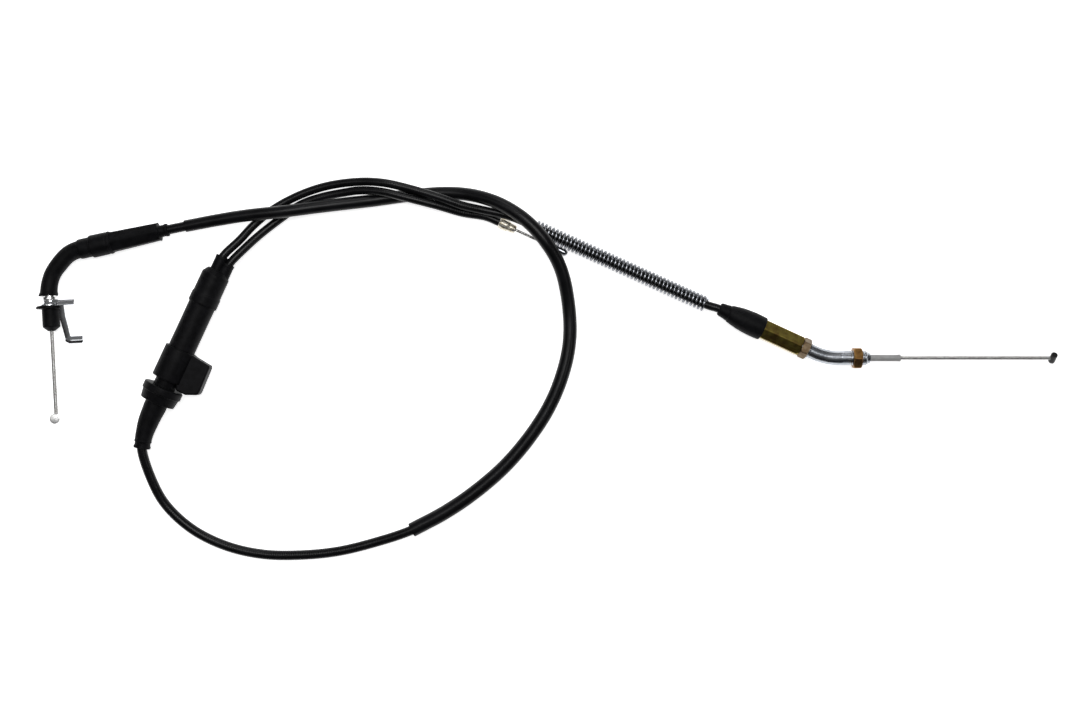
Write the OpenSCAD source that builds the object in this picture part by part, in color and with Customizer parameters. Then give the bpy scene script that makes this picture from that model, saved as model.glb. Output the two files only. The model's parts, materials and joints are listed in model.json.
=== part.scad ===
// Throttle cable with a splitter: one pull at the twist grip moves the carburettor
// slide and the oil pump arm together. It lies on a flat surface, z = 0.
// Every straight piece is built along its own axis, at stations counted in millimetres.

/* [Casings] */
// Diameter of the throttle casing
throttle_d = 5.2; // [4.8:0.1:5.4]
// Diameter of the carburettor and oil pump casings
branch_d = 4.5; // [4.2:0.1:4.6]
// Bore of every casing
casing_bore_d = 2.8; // [2.4:0.1:3.0]
// Diameter of the protective sleeve at the grip end
sleeve_tight_d = 6.4; // [6.2:0.1:6.6]
// Diameter of the protective sleeve at its free end
sleeve_loose_d = 7.8; // [7.0:0.1:7.8]
// Wall of the protective sleeve
sleeve_wall = 0.5; // [0.3:0.1:0.5]

/* [Wires] */
// Diameter of the grip and carburettor wires
wire_d = 2; // [1.5:0.1:2.2]
// Diameter of the oil pump wire
oil_wire_d = 1.5; // [1.2:0.1:1.8]
// Running clearance around a wire, on the radius
wire_gap = 0.3; // [0.25:0.05:0.35]

/* [Grip end] */
// Bend radius of the grip elbow
grip_bend_r = 20; // [18:0.5:21]
// Diameter of the steel elbow tube
grip_tube_d = 6; // [5.8:0.1:6]
// Bore of the steel elbow tube
grip_tube_bore = 3.2; // [3:0.1:3.6]
// Diameter of the rubber cover on the elbow
cover_d = 9; // [8.4:0.1:9.4]
// Diameter of the guide plug's flange
plug_flange_d = 14.7; // [12:0.1:15]
// Diameter of the guide plug's barrel
plug_d = 9; // [8:0.1:9.5]
// Diameter of the grip nipple
grip_nipple_d = 5.3; // [4.5:0.1:5.5]
// Length of the grip nipple
grip_nipple_len = 6; // [5:0.5:8]
// Thickness of the pressed steel bracket
bracket_t = 2.2; // [1.8:0.1:2.2]

/* [Splitter] */
// Diameter of the splitter's barrel
barrel_d = 14.2; // [14:0.1:14.4]
// Diameter of the sliding chamber
chamber_d = 12.4; // [12.3:0.1:12.6]
// Diameter of the splitter's lower housing
housing_d = 17; // [16.6:0.2:18]
// Diameter of the splitter's cap
cap_d = 15.5; // [15.3:0.1:16]
// Diameter of the collar that holds the boot
collar_d = 21; // [20:0.2:21]

/* [Carburettor end] */
// Diameter of the metric fine thread at both ends of the carburettor elbow
thread_d = 8; // [7.9:0.1:8]
// Running clearance of the thread, on the radius
thread_gap = 0.05; // [0.02:0.01:0.08]
// Width across flats of the adjuster and its lock nut
adjuster_af = 10; // [9.8:0.1:10.2]
// Width across flats of the nut at the carburettor top
top_nut_af = 10.5; // [10:0.1:11]
// Bend radius of the carburettor elbow
carb_bend_r = 30; // [28:1:31]
// Diameter of the nylon liner
liner_d = 3.6; // [3.4:0.1:3.7]
// Diameter of the carburettor nipple
carb_nipple_d = 3.5; // [3:0.1:4]
// Length of the carburettor nipple
carb_nipple_len = 5.8; // [5:0.1:7]
// Outer diameter of the spring guard
guard_d = 8.6; // [8:0.1:8.6]
// Wire diameter of the spring guard
guard_wire_d = 1.5; // [1.2:0.05:1.6]
// Turns of the spring guard
guard_turns = 46; // [36:1:46]

/* [Oil pump end] */
// Largest diameter of the crimped ferrule
ferrule_d = 6; // [5.6:0.1:6.2]
// Diameter of the oil pump nipple
oil_nipple_d = 3.7; // [3.4:0.1:3.8]
// Length of the oil pump nipple
oil_nipple_len = 11.5; // [9:0.5:12]

/* [Hidden] */
$fn = 48;

// Where the axes start and which way they head, in degrees from +X
grip_corner = [-264, 41.5, 8];
boot_heading = 12.5;
nose_heading = -87;
splitter_base = [-202.3, -28.9, 10.6];
splitter_heading = 65.15;
carb_corner = [148.4, -12.3, 6.5];
carb_heading = -24.8;
oil_exit = [-16.3, 56.1, 3.1];
oil_heading = -25;
guard_start = [-5, 56.8, 6.4];
guard_end = [85, 16, 6.3];

// Grip end stations, along the boot axis and along the nose axis
boot_ends = [16.5, 23.8, 34.3, 60.8, 65.4];
boot_ds = [10.6, 12.1, 10.4, 6.3];
boot_inset = 0.6;
boot_nut_room_d = 10.6;
boot_nut_room = 7;
boot_adjuster_room_d = 8.4;
boot_adjuster_room = 28;
grip_nut_at = 26;
grip_nut_h = 3;
grip_nut_af = 9;
grip_adjuster_ends = [29.3, 59];
grip_adjuster_d = 7.8;
adjuster_thread_depth = 13;
adjuster_socket_from = 46;
nose_cover_end = 20.9;
nose_bead = [21.6, 23.2];
nose_hub = [23.4, 26.1];
nose_flange = [26.3, 27.8];
nose_tip = [37.4, 39.6];
grip_wire_from = 20;
grip_nipple_at = 86.1;

// Splitter stations, along its axis
collar_ends = [-7.4, 1.6];
housing_ends = [5.8, 23.2];
neck_d = 12;
neck_seat = 3;
lower_bore_d = 5.4;
barrel_ends = [18, 52];
cap_ends = [49.1, 69.2];
chamber_end = 64;
slider_ends = [50, 60];
pocket_d = 4;
pocket_h = 3.5;
branch_nipple_d = 3.2;
branch_nipple_h = 2.5;
branch_nipple_from = slider_ends[1] - 3.5;
throttle_wire_ends = [14, 52];
slider_wire_end = 68;
carb_outlet = [0.8, 77];
oil_outlet = [-4, 74.5];
socket_depth = 5;
splitter_boot_straight = 7;
splitter_boot_r = 60;
splitter_boot_sweep = 18;

// Carburettor end stations, along the sloping axis (negative) and the level axis
carb_boot_ends = [-62.2, -56.3, -36.5];
adjuster_ends = [-48, -14.6];
adjuster_thread_from = -42;
adjuster_bore_d = 3;
ferrule_seat_d = 5.6;
ferrule_seat_h = 4.6;
lock_nut_ends = [-14.4, -10.2];
elbow_thread_from = -34;
level_thread = [8.2, 21.4];
elbow_tip = 23.4;
elbow_tip_r = 2.7;
top_nut_ends = [14.3, 18.9];
// The nut hides this stretch, which is drawn at the thread's pitch diameter
under_nut = [14.5, 19.1];
thread_pitch_d = 7.35;
liner_ends = [9, 39.7];
carb_wire_from = 24;
carb_nipple_at = 120.8;
carb_nipple_tilt = 37;
carb_casing_end = -44.5;
bend_step = 0.1;
// Small play on the radius between pieces that slip together
slip_gap = 0.05;
cover_gap = 0.1;
casing_sides = 10;

// Oil pump end stations, from the ferrule's tip
ferrule_len = 9.4;
oil_wire_inside = 0.4;
oil_nipple_from = 19;
oil_wire_grip = 4;
ferrule_tip_seat = 2;

// Directions and places
function heading(a) = [cos(a), sin(a), 0];
function at(origin, angle, station, side = 0) =
    origin + station * heading(angle) + side * heading(angle + 90);
function unit(v) = v / norm(v);
function flatten(rows) = [for (row = rows) each row];

// Sections that sweep along a route: one ring at each point, upright
function tangent(route, i) =
    unit(route[min(i + 1, len(route) - 1)] - route[max(i - 1, 0)]);
function ring(centre, along, r, sides) =
    let (side = unit(cross([0, 0, 1], along)), up = cross(along, side))
    [for (k = [0:sides - 1])
        centre + r * (cos(360 * k / sides) * side + sin(360 * k / sides) * up)];

// The splitter boot's bend, and the routes of the cords
boot_bend_from = at(splitter_base, splitter_heading, collar_ends[0] - splitter_boot_straight);
boot_out = splitter_heading + 180;
boot_bend_centre = boot_bend_from + splitter_boot_r * heading(boot_out + 90);
function boot_point(turn) =
    boot_bend_centre + splitter_boot_r * heading(boot_out - 90 + turn);
boot_tip = boot_point(splitter_boot_sweep);
boot_tip_heading = boot_out + splitter_boot_sweep;

sleeved_route = [
    [-191, 57.5, 8.2], [-174.5, 60.5, 9.4], [-157.5, 63, 10.8], [-139.5, 64.8, 11.3],
    [-122, 67.3, 9.8], [-106.5, 69.5, 7.4], [-92, 71.5, 4.8], [-75, 74, 3.6],
    [-56.5, 75.5, 3.8], [-44.5, 75, 5.2], [-32.5, 72.3, 8.9], [-21.5, 67.5, 12.1],
    [-10, 59.5, 14.1], [0, 48.5, 14.3], [7.5, 35.5, 10.4], [12, 16, 4.8], [12.5, -3.5, 3.8],
    [8.5, -22, 3.8], [1, -39.5, 3.8], [-9.5, -55.5, 3.9], [-23, -71, 3.9],
    [-39.5, -85, 3.9], [-54.5, -95, 3.9], [-71.5, -104, 3.9]
];
bare_route = [
    [-90.5, -110.5, 2.7], [-111, -115.5, 2.7], [-131.5, -117.5, 2.7], [-151.5, -117, 2.7],
    [-171, -112.5, 2.7], [-189, -103.5, 2.8], [-203, -90, 4], [-210, -75, 7.2]
];
throttle_route = concat(
    [for (station = [adjuster_socket_from + 0.5, boot_ends[4]])
        at(grip_corner, boot_heading, station)],
    sleeved_route,
    bare_route,
    [boot_tip, boot_tip - socket_depth * heading(boot_tip_heading)]
);
carb_route = concat(
    [for (station = [carb_outlet[1] - socket_depth, carb_outlet[1]])
        at(splitter_base, splitter_heading, station, carb_outlet[0])],
    [
        [-162.3, 50.1, 8.4], [-155, 58.5, 6.2], [-145, 67, 4.5], [-131, 74.5, 4.3],
        [-116, 79.3, 5], [-98, 81.2, 7.4], [-85.5, 80.2, 9.8], [-73.5, 77.5, 10.2],
        [-56, 72.3, 10.3], [-44.5, 68.4, 9.2], [-34, 66.2, 7.6], [-23.5, 64, 7.2],
        [-16, 61.7, 6.8]
    ],
    [guard_start, guard_end],
    [at(carb_corner, carb_heading, carb_boot_ends[0]),
     at(carb_corner, carb_heading, carb_casing_end)]
);
oil_route = concat(
    [for (station = [oil_outlet[1] - socket_depth, oil_outlet[1]])
        at(splitter_base, splitter_heading, station, oil_outlet[0])],
    [
        [-158.8, 46.4, 8.6], [-151, 54, 6.2], [-140.5, 62.5, 4.4], [-131, 69.3, 3.6],
        [-120.5, 73.1, 4], [-108, 75.6, 5], [-98, 76.6, 7.2], [-86.5, 75.5, 9.4],
        [-74.5, 72.6, 9.8], [-57.5, 68.4, 8.2], [-44.5, 64.9, 5.6], [-32, 63, 3.3]
    ],
    [at(oil_exit, oil_heading, -ferrule_len), at(oil_exit, oil_heading, -ferrule_len + 6)]
);

// Shapes that repeat

// Moves its children so that their +Z runs along a level axis
module along(origin, angle) {
    translate(origin) rotate([0, 0, angle]) rotate([0, 90, 0]) children();
}

// A round sleeve between two stations
module pipe(from, to, outer, bore) {
    translate([0, 0, from]) linear_extrude(to - from) difference() {
        circle(d = outer);
        circle(d = bore);
    }
}

// A round bar that follows a level bend, with straight runs into it and out of it;
// the bend is a hair slimmer or fatter than the runs, so that the two meet in a step
module bent_bar(corner, radius, headings, runs, diameter, step) {
    turn = headings[1] - headings[0];
    reach = radius * tan(abs(turn) / 2);
    way = sign(turn);
    start = headings[0] - 90 * way;
    along(at(corner, headings[0], -runs[0]), headings[0])
        cylinder(d = diameter, h = runs[0] - reach + bend_step);
    translate(at(corner, headings[0], -reach, way * radius))
        rotate([0, 0, min(start, start + turn)]) rotate_extrude(angle = abs(turn))
            translate([radius, 0]) circle(d = diameter + step);
    along(at(corner, headings[1], reach - bend_step), headings[1])
        cylinder(d = diameter, h = runs[1] - reach + bend_step);
}

// A turned body: a closed outline of [radius, station] points about the axis
module turned(outline) {
    rotate_extrude() polygon(outline);
}

// A six-sided bar across its flats, with chamfered corners and a bore
module hexagon_bar(from, to, flats, bore, spin, chamfer) {
    corner = flats / cos(30) / 2;
    face_rim = 0.2;
    low = flats / 2 - face_rim;
    clear = corner + 0.3;
    difference() {
        intersection() {
            translate([0, 0, from]) rotate([0, 0, spin])
                cylinder(r = corner, h = to - from, $fn = 6);
            turned([
                [0, from], [low, from], [clear, from + chamfer],
                [clear, to - chamfer], [low, to], [0, to]
            ]);
        }
        translate([0, 0, from - 1]) cylinder(d = bore, h = to - from + 2);
    }
}

// A hollow tube swept along a route, with its own radii at each point
module tube_along(route, outer, bore, sides) {
    count = len(route);
    rings = [for (radii = [outer, bore]) for (i = [0:count - 1])
        ring(route[i], tangent(route, i), radii[i], sides)];
    function spot(layer, i, k) = (layer * count + i) * sides + k % sides;
    outside = [for (i = [0:count - 2]) for (k = [0:sides - 1]) each [
        [spot(0, i, k), spot(0, i + 1, k), spot(0, i + 1, k + 1)],
        [spot(0, i, k), spot(0, i + 1, k + 1), spot(0, i, k + 1)]]];
    inside = [for (i = [0:count - 2]) for (k = [0:sides - 1]) each [
        [spot(1, i, k), spot(1, i + 1, k + 1), spot(1, i + 1, k)],
        [spot(1, i, k), spot(1, i, k + 1), spot(1, i + 1, k + 1)]]];
    first = [for (k = [0:sides - 1]) each [
        [spot(0, 0, k), spot(0, 0, k + 1), spot(1, 0, k + 1)],
        [spot(0, 0, k), spot(1, 0, k + 1), spot(1, 0, k)]]];
    last = [for (k = [0:sides - 1]) each [
        [spot(0, count - 1, k), spot(1, count - 1, k), spot(1, count - 1, k + 1)],
        [spot(0, count - 1, k), spot(1, count - 1, k + 1), spot(0, count - 1, k + 1)]]];
    polyhedron(flatten(rings), concat(outside, inside, first, last));
}

// A casing of one diameter along its route
module casing(route, diameter) {
    radii = [for (point = route) diameter / 2];
    bores = [for (point = route) casing_bore_d / 2];
    tube_along(route, radii, bores, casing_sides);
}

// Grip end

module grip_nipple() {
    centre = at(grip_corner, nose_heading, grip_nipple_at);
    color("silver") difference() {
        translate(centre - [0, 0, grip_nipple_len / 2])
            cylinder(d = grip_nipple_d, h = grip_nipple_len);
        along(grip_corner, nose_heading)
            translate([0, 0, grip_nipple_at - grip_nipple_d])
                cylinder(d = wire_d, h = grip_nipple_d);
    }
}

module grip_wire() {
    color("lightgray") along(grip_corner, nose_heading)
        translate([0, 0, grip_wire_from]) cylinder(d = wire_d, h = grip_nipple_at - grip_wire_from);
}

module grip_plug() {
    bore = wire_d / 2 + wire_gap;
    barrel = plug_d / 2;
    flange = plug_flange_d / 2;
    color("black") along(grip_corner, nose_heading) turned([
        [bore, nose_flange[0]], [flange - 0.4, nose_flange[0]], [flange, nose_flange[0] + 0.5],
        [flange, nose_flange[1]], [barrel, nose_flange[1]], [barrel, nose_tip[0]],
        [bore + 0.5, nose_tip[1]], [bore, nose_tip[1]]
    ]);
}

module grip_bead() {
    color("silver") along(grip_corner, nose_heading)
        pipe(nose_bead[0], nose_bead[1], grip_tube_d + 2, grip_tube_d);
}

// Pressed bracket: a flared hub that turns on the tube, an arm and a tab bent over it
module grip_bracket() {
    hub_bore = grip_tube_d / 2 + wire_gap;
    hub_root = 4.1;
    hub_rim = 5.5;
    arm_top = 7.5;
    arm_low = 8;
    tab_near = 6.4;
    tab_far = 15;
    inner_bend = 0.8;
    outer_bend = inner_bend + bracket_t;
    arm_from = nose_hub[0];
    bend_from = arm_from + outer_bend;
    color("silver") along(grip_corner, nose_heading) difference() {
        union() {
            turned([
                [0, nose_hub[0]], [hub_root, nose_hub[0]], [hub_rim, nose_hub[1]],
                [0, nose_hub[1]]
            ]);
            translate([0, 0, arm_from]) linear_extrude(bracket_t) polygon([
                [arm_low, 1], [arm_low, 12], [5, tab_far], [outer_bend - arm_top, tab_far],
                [outer_bend - arm_top, tab_near], [-3, 2], [0, 0], [4, 0]
            ]);
            translate([outer_bend - arm_top, tab_far, bend_from]) rotate([90, 0, 0])
                rotate([0, 0, 180]) rotate_extrude(angle = 90) translate([inner_bend, 0])
                    square([bracket_t, tab_far - tab_near]);
            translate([-arm_top, 0, bend_from]) rotate([0, 90, 0])
                linear_extrude(bracket_t) polygon([
                    [0, tab_near], [0, tab_far], [-19.8, 19], [-20.6, 18], [-20.6, 9.4],
                    [-17.5, 8.8],
                    [-6.5, 6.2]
                ]);
        }
        translate([0, 0, nose_hub[0] - 1])
            cylinder(r = hub_bore, h = nose_hub[1] - nose_hub[0] + 2);
    }
}

module grip_elbow_tube() {
    headings = [boot_heading + 180, nose_heading + 360];
    runs = [40, nose_flange[0]];
    color("silver") difference() {
        bent_bar(grip_corner, grip_bend_r, headings, runs, grip_tube_d, -bend_step);
        bent_bar(grip_corner, grip_bend_r, headings, runs, grip_tube_bore, bend_step);
    }
}

module grip_elbow_cover() {
    headings = [boot_heading + 180, nose_heading + 360];
    runs = [boot_ends[0] + boot_inset, nose_cover_end];
    color("black") difference() {
        bent_bar(grip_corner, grip_bend_r, headings, runs, cover_d, -bend_step);
        bent_bar(grip_corner, grip_bend_r, headings, runs, grip_tube_d + 2 * cover_gap, bend_step);
    }
}

// Rubber boot over the cable adjuster: two collars, a six-sided body and an end collar
module grip_boot() {
    ends = boot_ends;
    step = boot_ds[0] / 2;
    rim = boot_ds[1] / 2;
    soft = 0.4;
    color("black") along(grip_corner, boot_heading) difference() {
        union() {
            turned([
                [0, ends[0] + boot_inset], [step, ends[0] + boot_inset], [step, ends[1]],
                [rim - soft, ends[1]], [rim, ends[1] + soft], [rim, ends[2] - soft],
                [rim - soft, ends[2]], [0, ends[2]]
            ]);
            translate([0, 0, ends[2] - 2]) rotate([0, 0, 30])
                cylinder(d = boot_ds[2] / cos(30), h = ends[3] - ends[2] + 2, $fn = 6);
            translate([0, 0, ends[3] - 1]) cylinder(d = boot_ds[3], h = ends[4] - ends[3] + 1);
        }
        translate([0, 0, ends[0]]) cylinder(d = grip_tube_d + 2 * cover_gap, h = 10);
        translate([0, 0, grip_nut_at - 0.5]) cylinder(d = boot_nut_room_d, h = boot_nut_room);
        translate([0, 0, ends[2] - 3])
            cylinder(d = boot_adjuster_room_d, h = boot_adjuster_room);
        translate([0, 0, ends[3] - 3]) cylinder(d = throttle_d + 2 * slip_gap, h = 10);
    }
}

module grip_lock_nut() {
    color("silver") along(grip_corner, boot_heading)
        hexagon_bar(grip_nut_at, grip_nut_at + grip_nut_h, grip_nut_af,
                    grip_tube_d + 2 * cover_gap, 0, 0.4);
}

module grip_adjuster() {
    ends = grip_adjuster_ends;
    color("silver") along(grip_corner, boot_heading) difference() {
        translate([0, 0, ends[0]]) cylinder(d = grip_adjuster_d, h = ends[1] - ends[0]);
        translate([0, 0, ends[0] - 1])
            cylinder(d = grip_tube_d + 2 * cover_gap, h = adjuster_thread_depth + 1);
        translate([0, 0, ends[0]]) cylinder(d = grip_tube_bore, h = ends[1] - ends[0]);
        translate([0, 0, adjuster_socket_from]) cylinder(d = throttle_d + 0.3, h = ends[1]);
    }
}

// Throttle cable

module throttle_casing() {
    color("black") casing(throttle_route, throttle_d);
}

module throttle_sleeve() {
    last = len(sleeved_route) - 1;
    outer = [for (i = [0:last])
        (sleeve_tight_d + (sleeve_loose_d - sleeve_tight_d) * i / last) / 2];
    bore = [for (r = outer) r - sleeve_wall];
    color("black") tube_along(sleeved_route, outer, bore, casing_sides);
}

// Splitter

module splitter_boot() {
    turns = [0, 6, 12, splitter_boot_sweep];
    top = collar_ends[0] + 4.5;
    path = concat(
        [at(splitter_base, splitter_heading, top), at(splitter_base, splitter_heading,
            collar_ends[0] - 1)],
        [for (turn = turns) boot_point(turn)]
    );
    radii = [6, 5.9, 5.4, 5.1, 4.6, 4.2];
    wire_room = 1.5;
    bores = [for (r = radii) wire_room];
    color("black") difference() {
        tube_along(path, radii, bores, 2 * casing_sides);
        along(boot_tip - (socket_depth + 0.1) * heading(boot_tip_heading), boot_tip_heading)
            cylinder(d = throttle_d + 2 * slip_gap, h = socket_depth + 1);
    }
}

module splitter_collar() {
    ends = collar_ends;
    rim = collar_d / 2;
    rim_from = ends[1] - 4;
    boot_socket = 4.6;
    web_bore_d = 6;
    color("black") along(splitter_base, splitter_heading) difference() {
        turned([
            [0, ends[0]], [rim - 1.4, ends[0]], [rim - 0.6, rim_from], [rim, rim_from],
            [rim, ends[1] - 0.6], [rim - 0.6, ends[1]], [0, ends[1]]
        ]);
        translate([0, 0, ends[0] - 1])
            cylinder(d = neck_d + 2 * slip_gap, h = boot_socket + 1);
        translate([0, 0, ends[0] + 1]) cylinder(d = web_bore_d, h = ends[1] - ends[0]);
        translate([0, 0, ends[1] - neck_seat]) cylinder(d = neck_d, h = neck_seat + 2);
    }
}

module splitter_housing() {
    ends = housing_ends;
    lug_in = housing_d / 2 - 1.5;
    lug_t = 8;
    color("black") along(splitter_base, splitter_heading) difference() {
        union() {
            translate([0, 0, collar_ends[1] - neck_seat])
                cylinder(d = neck_d, h = ends[0] - collar_ends[1] + neck_seat + 1);
            translate([0, 0, ends[0]]) cylinder(d = housing_d, h = ends[1] - ends[0]);
            translate([-lug_t / 2, 0, 0]) rotate([0, 90, 0]) linear_extrude(lug_t) polygon([
                [-ends[1], -lug_in], [-ends[1], -7.9], [-21.6, -18.2], [-6.2, -18.8],
                [-5, -18], [-2.6, -12.6], [-2.6, -7], [-7, -5.5]
            ]);
        }
        translate([0, 0, ends[0]]) cylinder(d = chamber_d, h = 20);
        translate([0, 0, barrel_ends[0]]) cylinder(d = barrel_d, h = 20);
        translate([0, 0, -5]) cylinder(d = lower_bore_d, h = 20);
    }
}

module splitter_barrel() {
    color("black") along(splitter_base, splitter_heading)
        pipe(barrel_ends[0], barrel_ends[1], barrel_d, chamber_d);
}

module splitter_cap() {
    ends = cap_ends;
    r = cap_d / 2;
    carb_neck_d = 7;
    oil_neck_d = 6.8;
    oil_neck_shift = 0.4;
    neck_from = ends[1] - 4;
    color("black") along(splitter_base, splitter_heading) difference() {
        union() {
            turned([
                [0, ends[0]], [r - 0.3, ends[0]], [r, ends[0] + 0.5], [r, ends[0] + 6],
                [r - 0.4, ends[0] + 7], [r - 0.4, ends[1] - 3], [r - 2.4, ends[1]],
                [0, ends[1]]
            ]);
            translate([0, carb_outlet[0], neck_from])
                cylinder(d = carb_neck_d, h = carb_outlet[1] - neck_from);
            translate([0, oil_outlet[0] + oil_neck_shift, neck_from])
                cylinder(d = oil_neck_d, h = oil_outlet[1] - neck_from);
        }
        translate([0, 0, ends[0] - 1])
            cylinder(d = barrel_d + slip_gap, h = barrel_ends[1] - ends[0] + 1);
        translate([0, 0, ends[0]]) cylinder(d = chamber_d, h = chamber_end - ends[0]);
        for (outlet = [carb_outlet, oil_outlet]) translate([0, outlet[0], 0]) {
            translate([0, 0, ends[0]]) cylinder(d = wire_d + 2 * wire_gap, h = 30);
            translate([0, 0, outlet[1] - socket_depth]) cylinder(d = branch_d, h = 10);
        }
    }
}

// Block that all three wires hook into, inside the chamber
module splitter_slider() {
    ends = slider_ends;
    color("white") along(splitter_base, splitter_heading) difference() {
        translate([0, 0, ends[0]])
            cylinder(d = chamber_d - 3 * slip_gap, h = ends[1] - ends[0]);
        translate([0, 0, ends[0] - 1]) cylinder(d = wire_d, h = 4);
        translate([0, 0, ends[0] + 2]) cylinder(d = pocket_d, h = pocket_h);
        for (outlet = [carb_outlet, oil_outlet]) translate([0, outlet[0], 0]) {
            translate([0, 0, branch_nipple_from])
                cylinder(d = branch_nipple_d, h = branch_nipple_h);
            translate([0, 0, ends[1] - 2]) cylinder(d = oil_wire_d, h = 4);
        }
    }
}

module slider_throttle_wire() {
    color("lightgray") along(splitter_base, splitter_heading)
        translate([0, 0, throttle_wire_ends[0]])
            cylinder(d = wire_d, h = throttle_wire_ends[1] - throttle_wire_ends[0]);
}

module slider_throttle_nipple() {
    color("silver") along(splitter_base, splitter_heading)
        translate([0, 0, slider_ends[0] + 2]) cylinder(d = pocket_d, h = pocket_h);
}

module branch_nipple(side) {
    color("silver") along(splitter_base, splitter_heading)
        translate([0, side, branch_nipple_from]) cylinder(d = branch_nipple_d, h = branch_nipple_h);
}

module branch_wire(side) {
    from = slider_ends[1] - 1;
    color("lightgray") along(splitter_base, splitter_heading)
        translate([0, side, from]) cylinder(d = oil_wire_d, h = slider_wire_end - from);
}

module slider_carb_wire() branch_wire(carb_outlet[0]);

module slider_carb_nipple() branch_nipple(carb_outlet[0]);

module slider_oil_wire() branch_wire(oil_outlet[0]);

module slider_oil_nipple() branch_nipple(oil_outlet[0]);

// Carburettor cable

module carb_casing() {
    color("black") casing(carb_route, branch_d);
}

// Open coil that guards the casing where it nears the engine
module spring_guard() {
    steps = 8;
    sides = 5;
    span = guard_end - guard_start;
    axis = unit(span);
    across = unit(cross([0, 0, 1], axis));
    up = cross(axis, across);
    coil_r = (guard_d - guard_wire_d) / 2;
    last = guard_turns * steps;
    spine = [for (i = [0:last])
        let (turn = 360 * i / steps)
        guard_start + span * i / last + coil_r * (cos(turn) * across + sin(turn) * up)];
    points = [for (i = [0:last]) each
        let (turn = 360 * i / steps, out = cos(turn) * across + sin(turn) * up)
        [for (k = [0:sides - 1]) spine[i]
            + guard_wire_d / 2 * (cos(360 * k / sides) * out + sin(360 * k / sides) * axis)]];
    skin = [for (i = [0:last - 1]) for (k = [0:sides - 1])
        let (a = i * sides + k, b = i * sides + (k + 1) % sides)
        each [[a, b, b + sides], [a, b + sides, a + sides]]];
    ends = [[for (k = [sides - 1:-1:0]) k], [for (k = [0:sides - 1]) last * sides + k]];
    color("silver") polyhedron(points, concat(skin, ends));
}

module carb_boot() {
    ends = carb_boot_ends;
    neck = branch_d / 2 + 0.15;
    color("black") along(carb_corner, carb_heading) turned([
        [neck, ends[0]], [3.4, ends[0]], [3.9, ends[0] + 1], [4.3, ends[1]], [4.7, ends[1] + 0.1],
        [5.9, ends[1] + 6], [6.4, ends[1] + 12], [6.35, ends[2] - 2.5], [6.15, ends[2]],
        [5.85, ends[2]], [5.85, adjuster_ends[0] - 0.6], [3.2, adjuster_ends[0] - 0.6],
        [neck + 0.6, ends[1] + 1], [neck, ends[1]]
    ]);
}

module carb_casing_ferrule() {
    from = -51;
    to = carb_casing_end + 1;
    r = 2.7;
    hole = wire_d / 2 + wire_gap;
    color("silver") along(carb_corner, carb_heading) turned([
        [branch_d / 2, from], [r, from], [r, to], [hole, to], [hole, carb_casing_end],
        [branch_d / 2, carb_casing_end]
    ]);
}

module carb_adjuster() {
    color("olive") along(carb_corner, carb_heading) difference() {
        hexagon_bar(adjuster_ends[0], adjuster_ends[1], adjuster_af, adjuster_bore_d, 0, 0.6);
        translate([0, 0, adjuster_ends[0] - 1])
            cylinder(d = ferrule_seat_d, h = ferrule_seat_h + 1);
        translate([0, 0, adjuster_thread_from]) cylinder(d = thread_d + 2 * thread_gap, h = 40);
    }
}

module adjuster_lock_nut() {
    color("tan") along(carb_corner, carb_heading)
        hexagon_bar(lock_nut_ends[0], lock_nut_ends[1], adjuster_af,
                    thread_d + 2 * thread_gap, 30, 0.7);
}

// Bent steel tube, threaded at both ends
module carb_elbow() {
    headings = [carb_heading, 0];
    bore = liner_d + 2 * slip_gap;
    crest = thread_d / 2;
    shank_d = thread_d - 0.6;
    color("silver") difference() {
        union() {
            bent_bar(carb_corner, carb_bend_r, headings, [-elbow_thread_from, elbow_tip - 2],
                     shank_d, bend_step);
            along(carb_corner, carb_heading) translate([0, 0, elbow_thread_from])
                cylinder(d = thread_d, h = lock_nut_ends[1] + 0.6 - elbow_thread_from);
            along(carb_corner, 0) turned([
                [0, level_thread[0]], [crest, level_thread[0]], [crest, under_nut[0]],
                [thread_pitch_d / 2, under_nut[0]], [thread_pitch_d / 2, under_nut[1]],
                [crest, under_nut[1]], [crest, level_thread[1]], [elbow_tip_r, elbow_tip],
                [0, elbow_tip]
            ]);
        }
        bent_bar(carb_corner, carb_bend_r, headings, [-elbow_thread_from + 1, elbow_tip + 1],
                 bore, bend_step);
    }
}

module carb_top_nut() {
    color("peru") along(carb_corner, 0)
        hexagon_bar(top_nut_ends[0], top_nut_ends[1], top_nut_af,
                    thread_d + 2 * thread_gap, 5, 0.8);
}

module carb_liner() {
    color("gray") along(carb_corner, 0)
        pipe(liner_ends[0], liner_ends[1], liner_d, wire_d + 2 * wire_gap);
}

module carb_wire() {
    color("lightgray") along(carb_corner, 0)
        translate([0, 0, carb_wire_from]) cylinder(d = wire_d, h = carb_nipple_at - carb_wire_from);
}

module carb_nipple() {
    color("dimgray") along(carb_corner, 0) difference() {
        translate([0, 0, carb_nipple_at]) rotate([0, 0, carb_nipple_tilt]) rotate([0, 90, 0])
            translate([0, 0, -carb_nipple_len / 2])
                cylinder(d = carb_nipple_d, h = carb_nipple_len);
        translate([0, 0, carb_nipple_at - carb_nipple_d]) cylinder(d = wire_d, h = carb_nipple_d);
    }
}

// Oil pump cable

module oil_casing() {
    color("black") casing(oil_route, branch_d);
}

module oil_ferrule() {
    r = ferrule_d / 2;
    color("silver") along(oil_exit, oil_heading) turned([
        [branch_d / 2, -ferrule_len], [r - 0.6, -ferrule_len], [r, -ferrule_len + 2.4],
        [2.1, -0.3], [1.9, 0], [1.2, 0], [1.2, -ferrule_tip_seat],
        [branch_d / 2, -ferrule_tip_seat - 1.4]
    ]);
}

module oil_wire() {
    color("lightgray") along(oil_exit, oil_heading) translate([0, 0, -oil_wire_inside])
        cylinder(d = oil_wire_d, h = oil_nipple_from + oil_wire_grip + oil_wire_inside);
}

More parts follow.
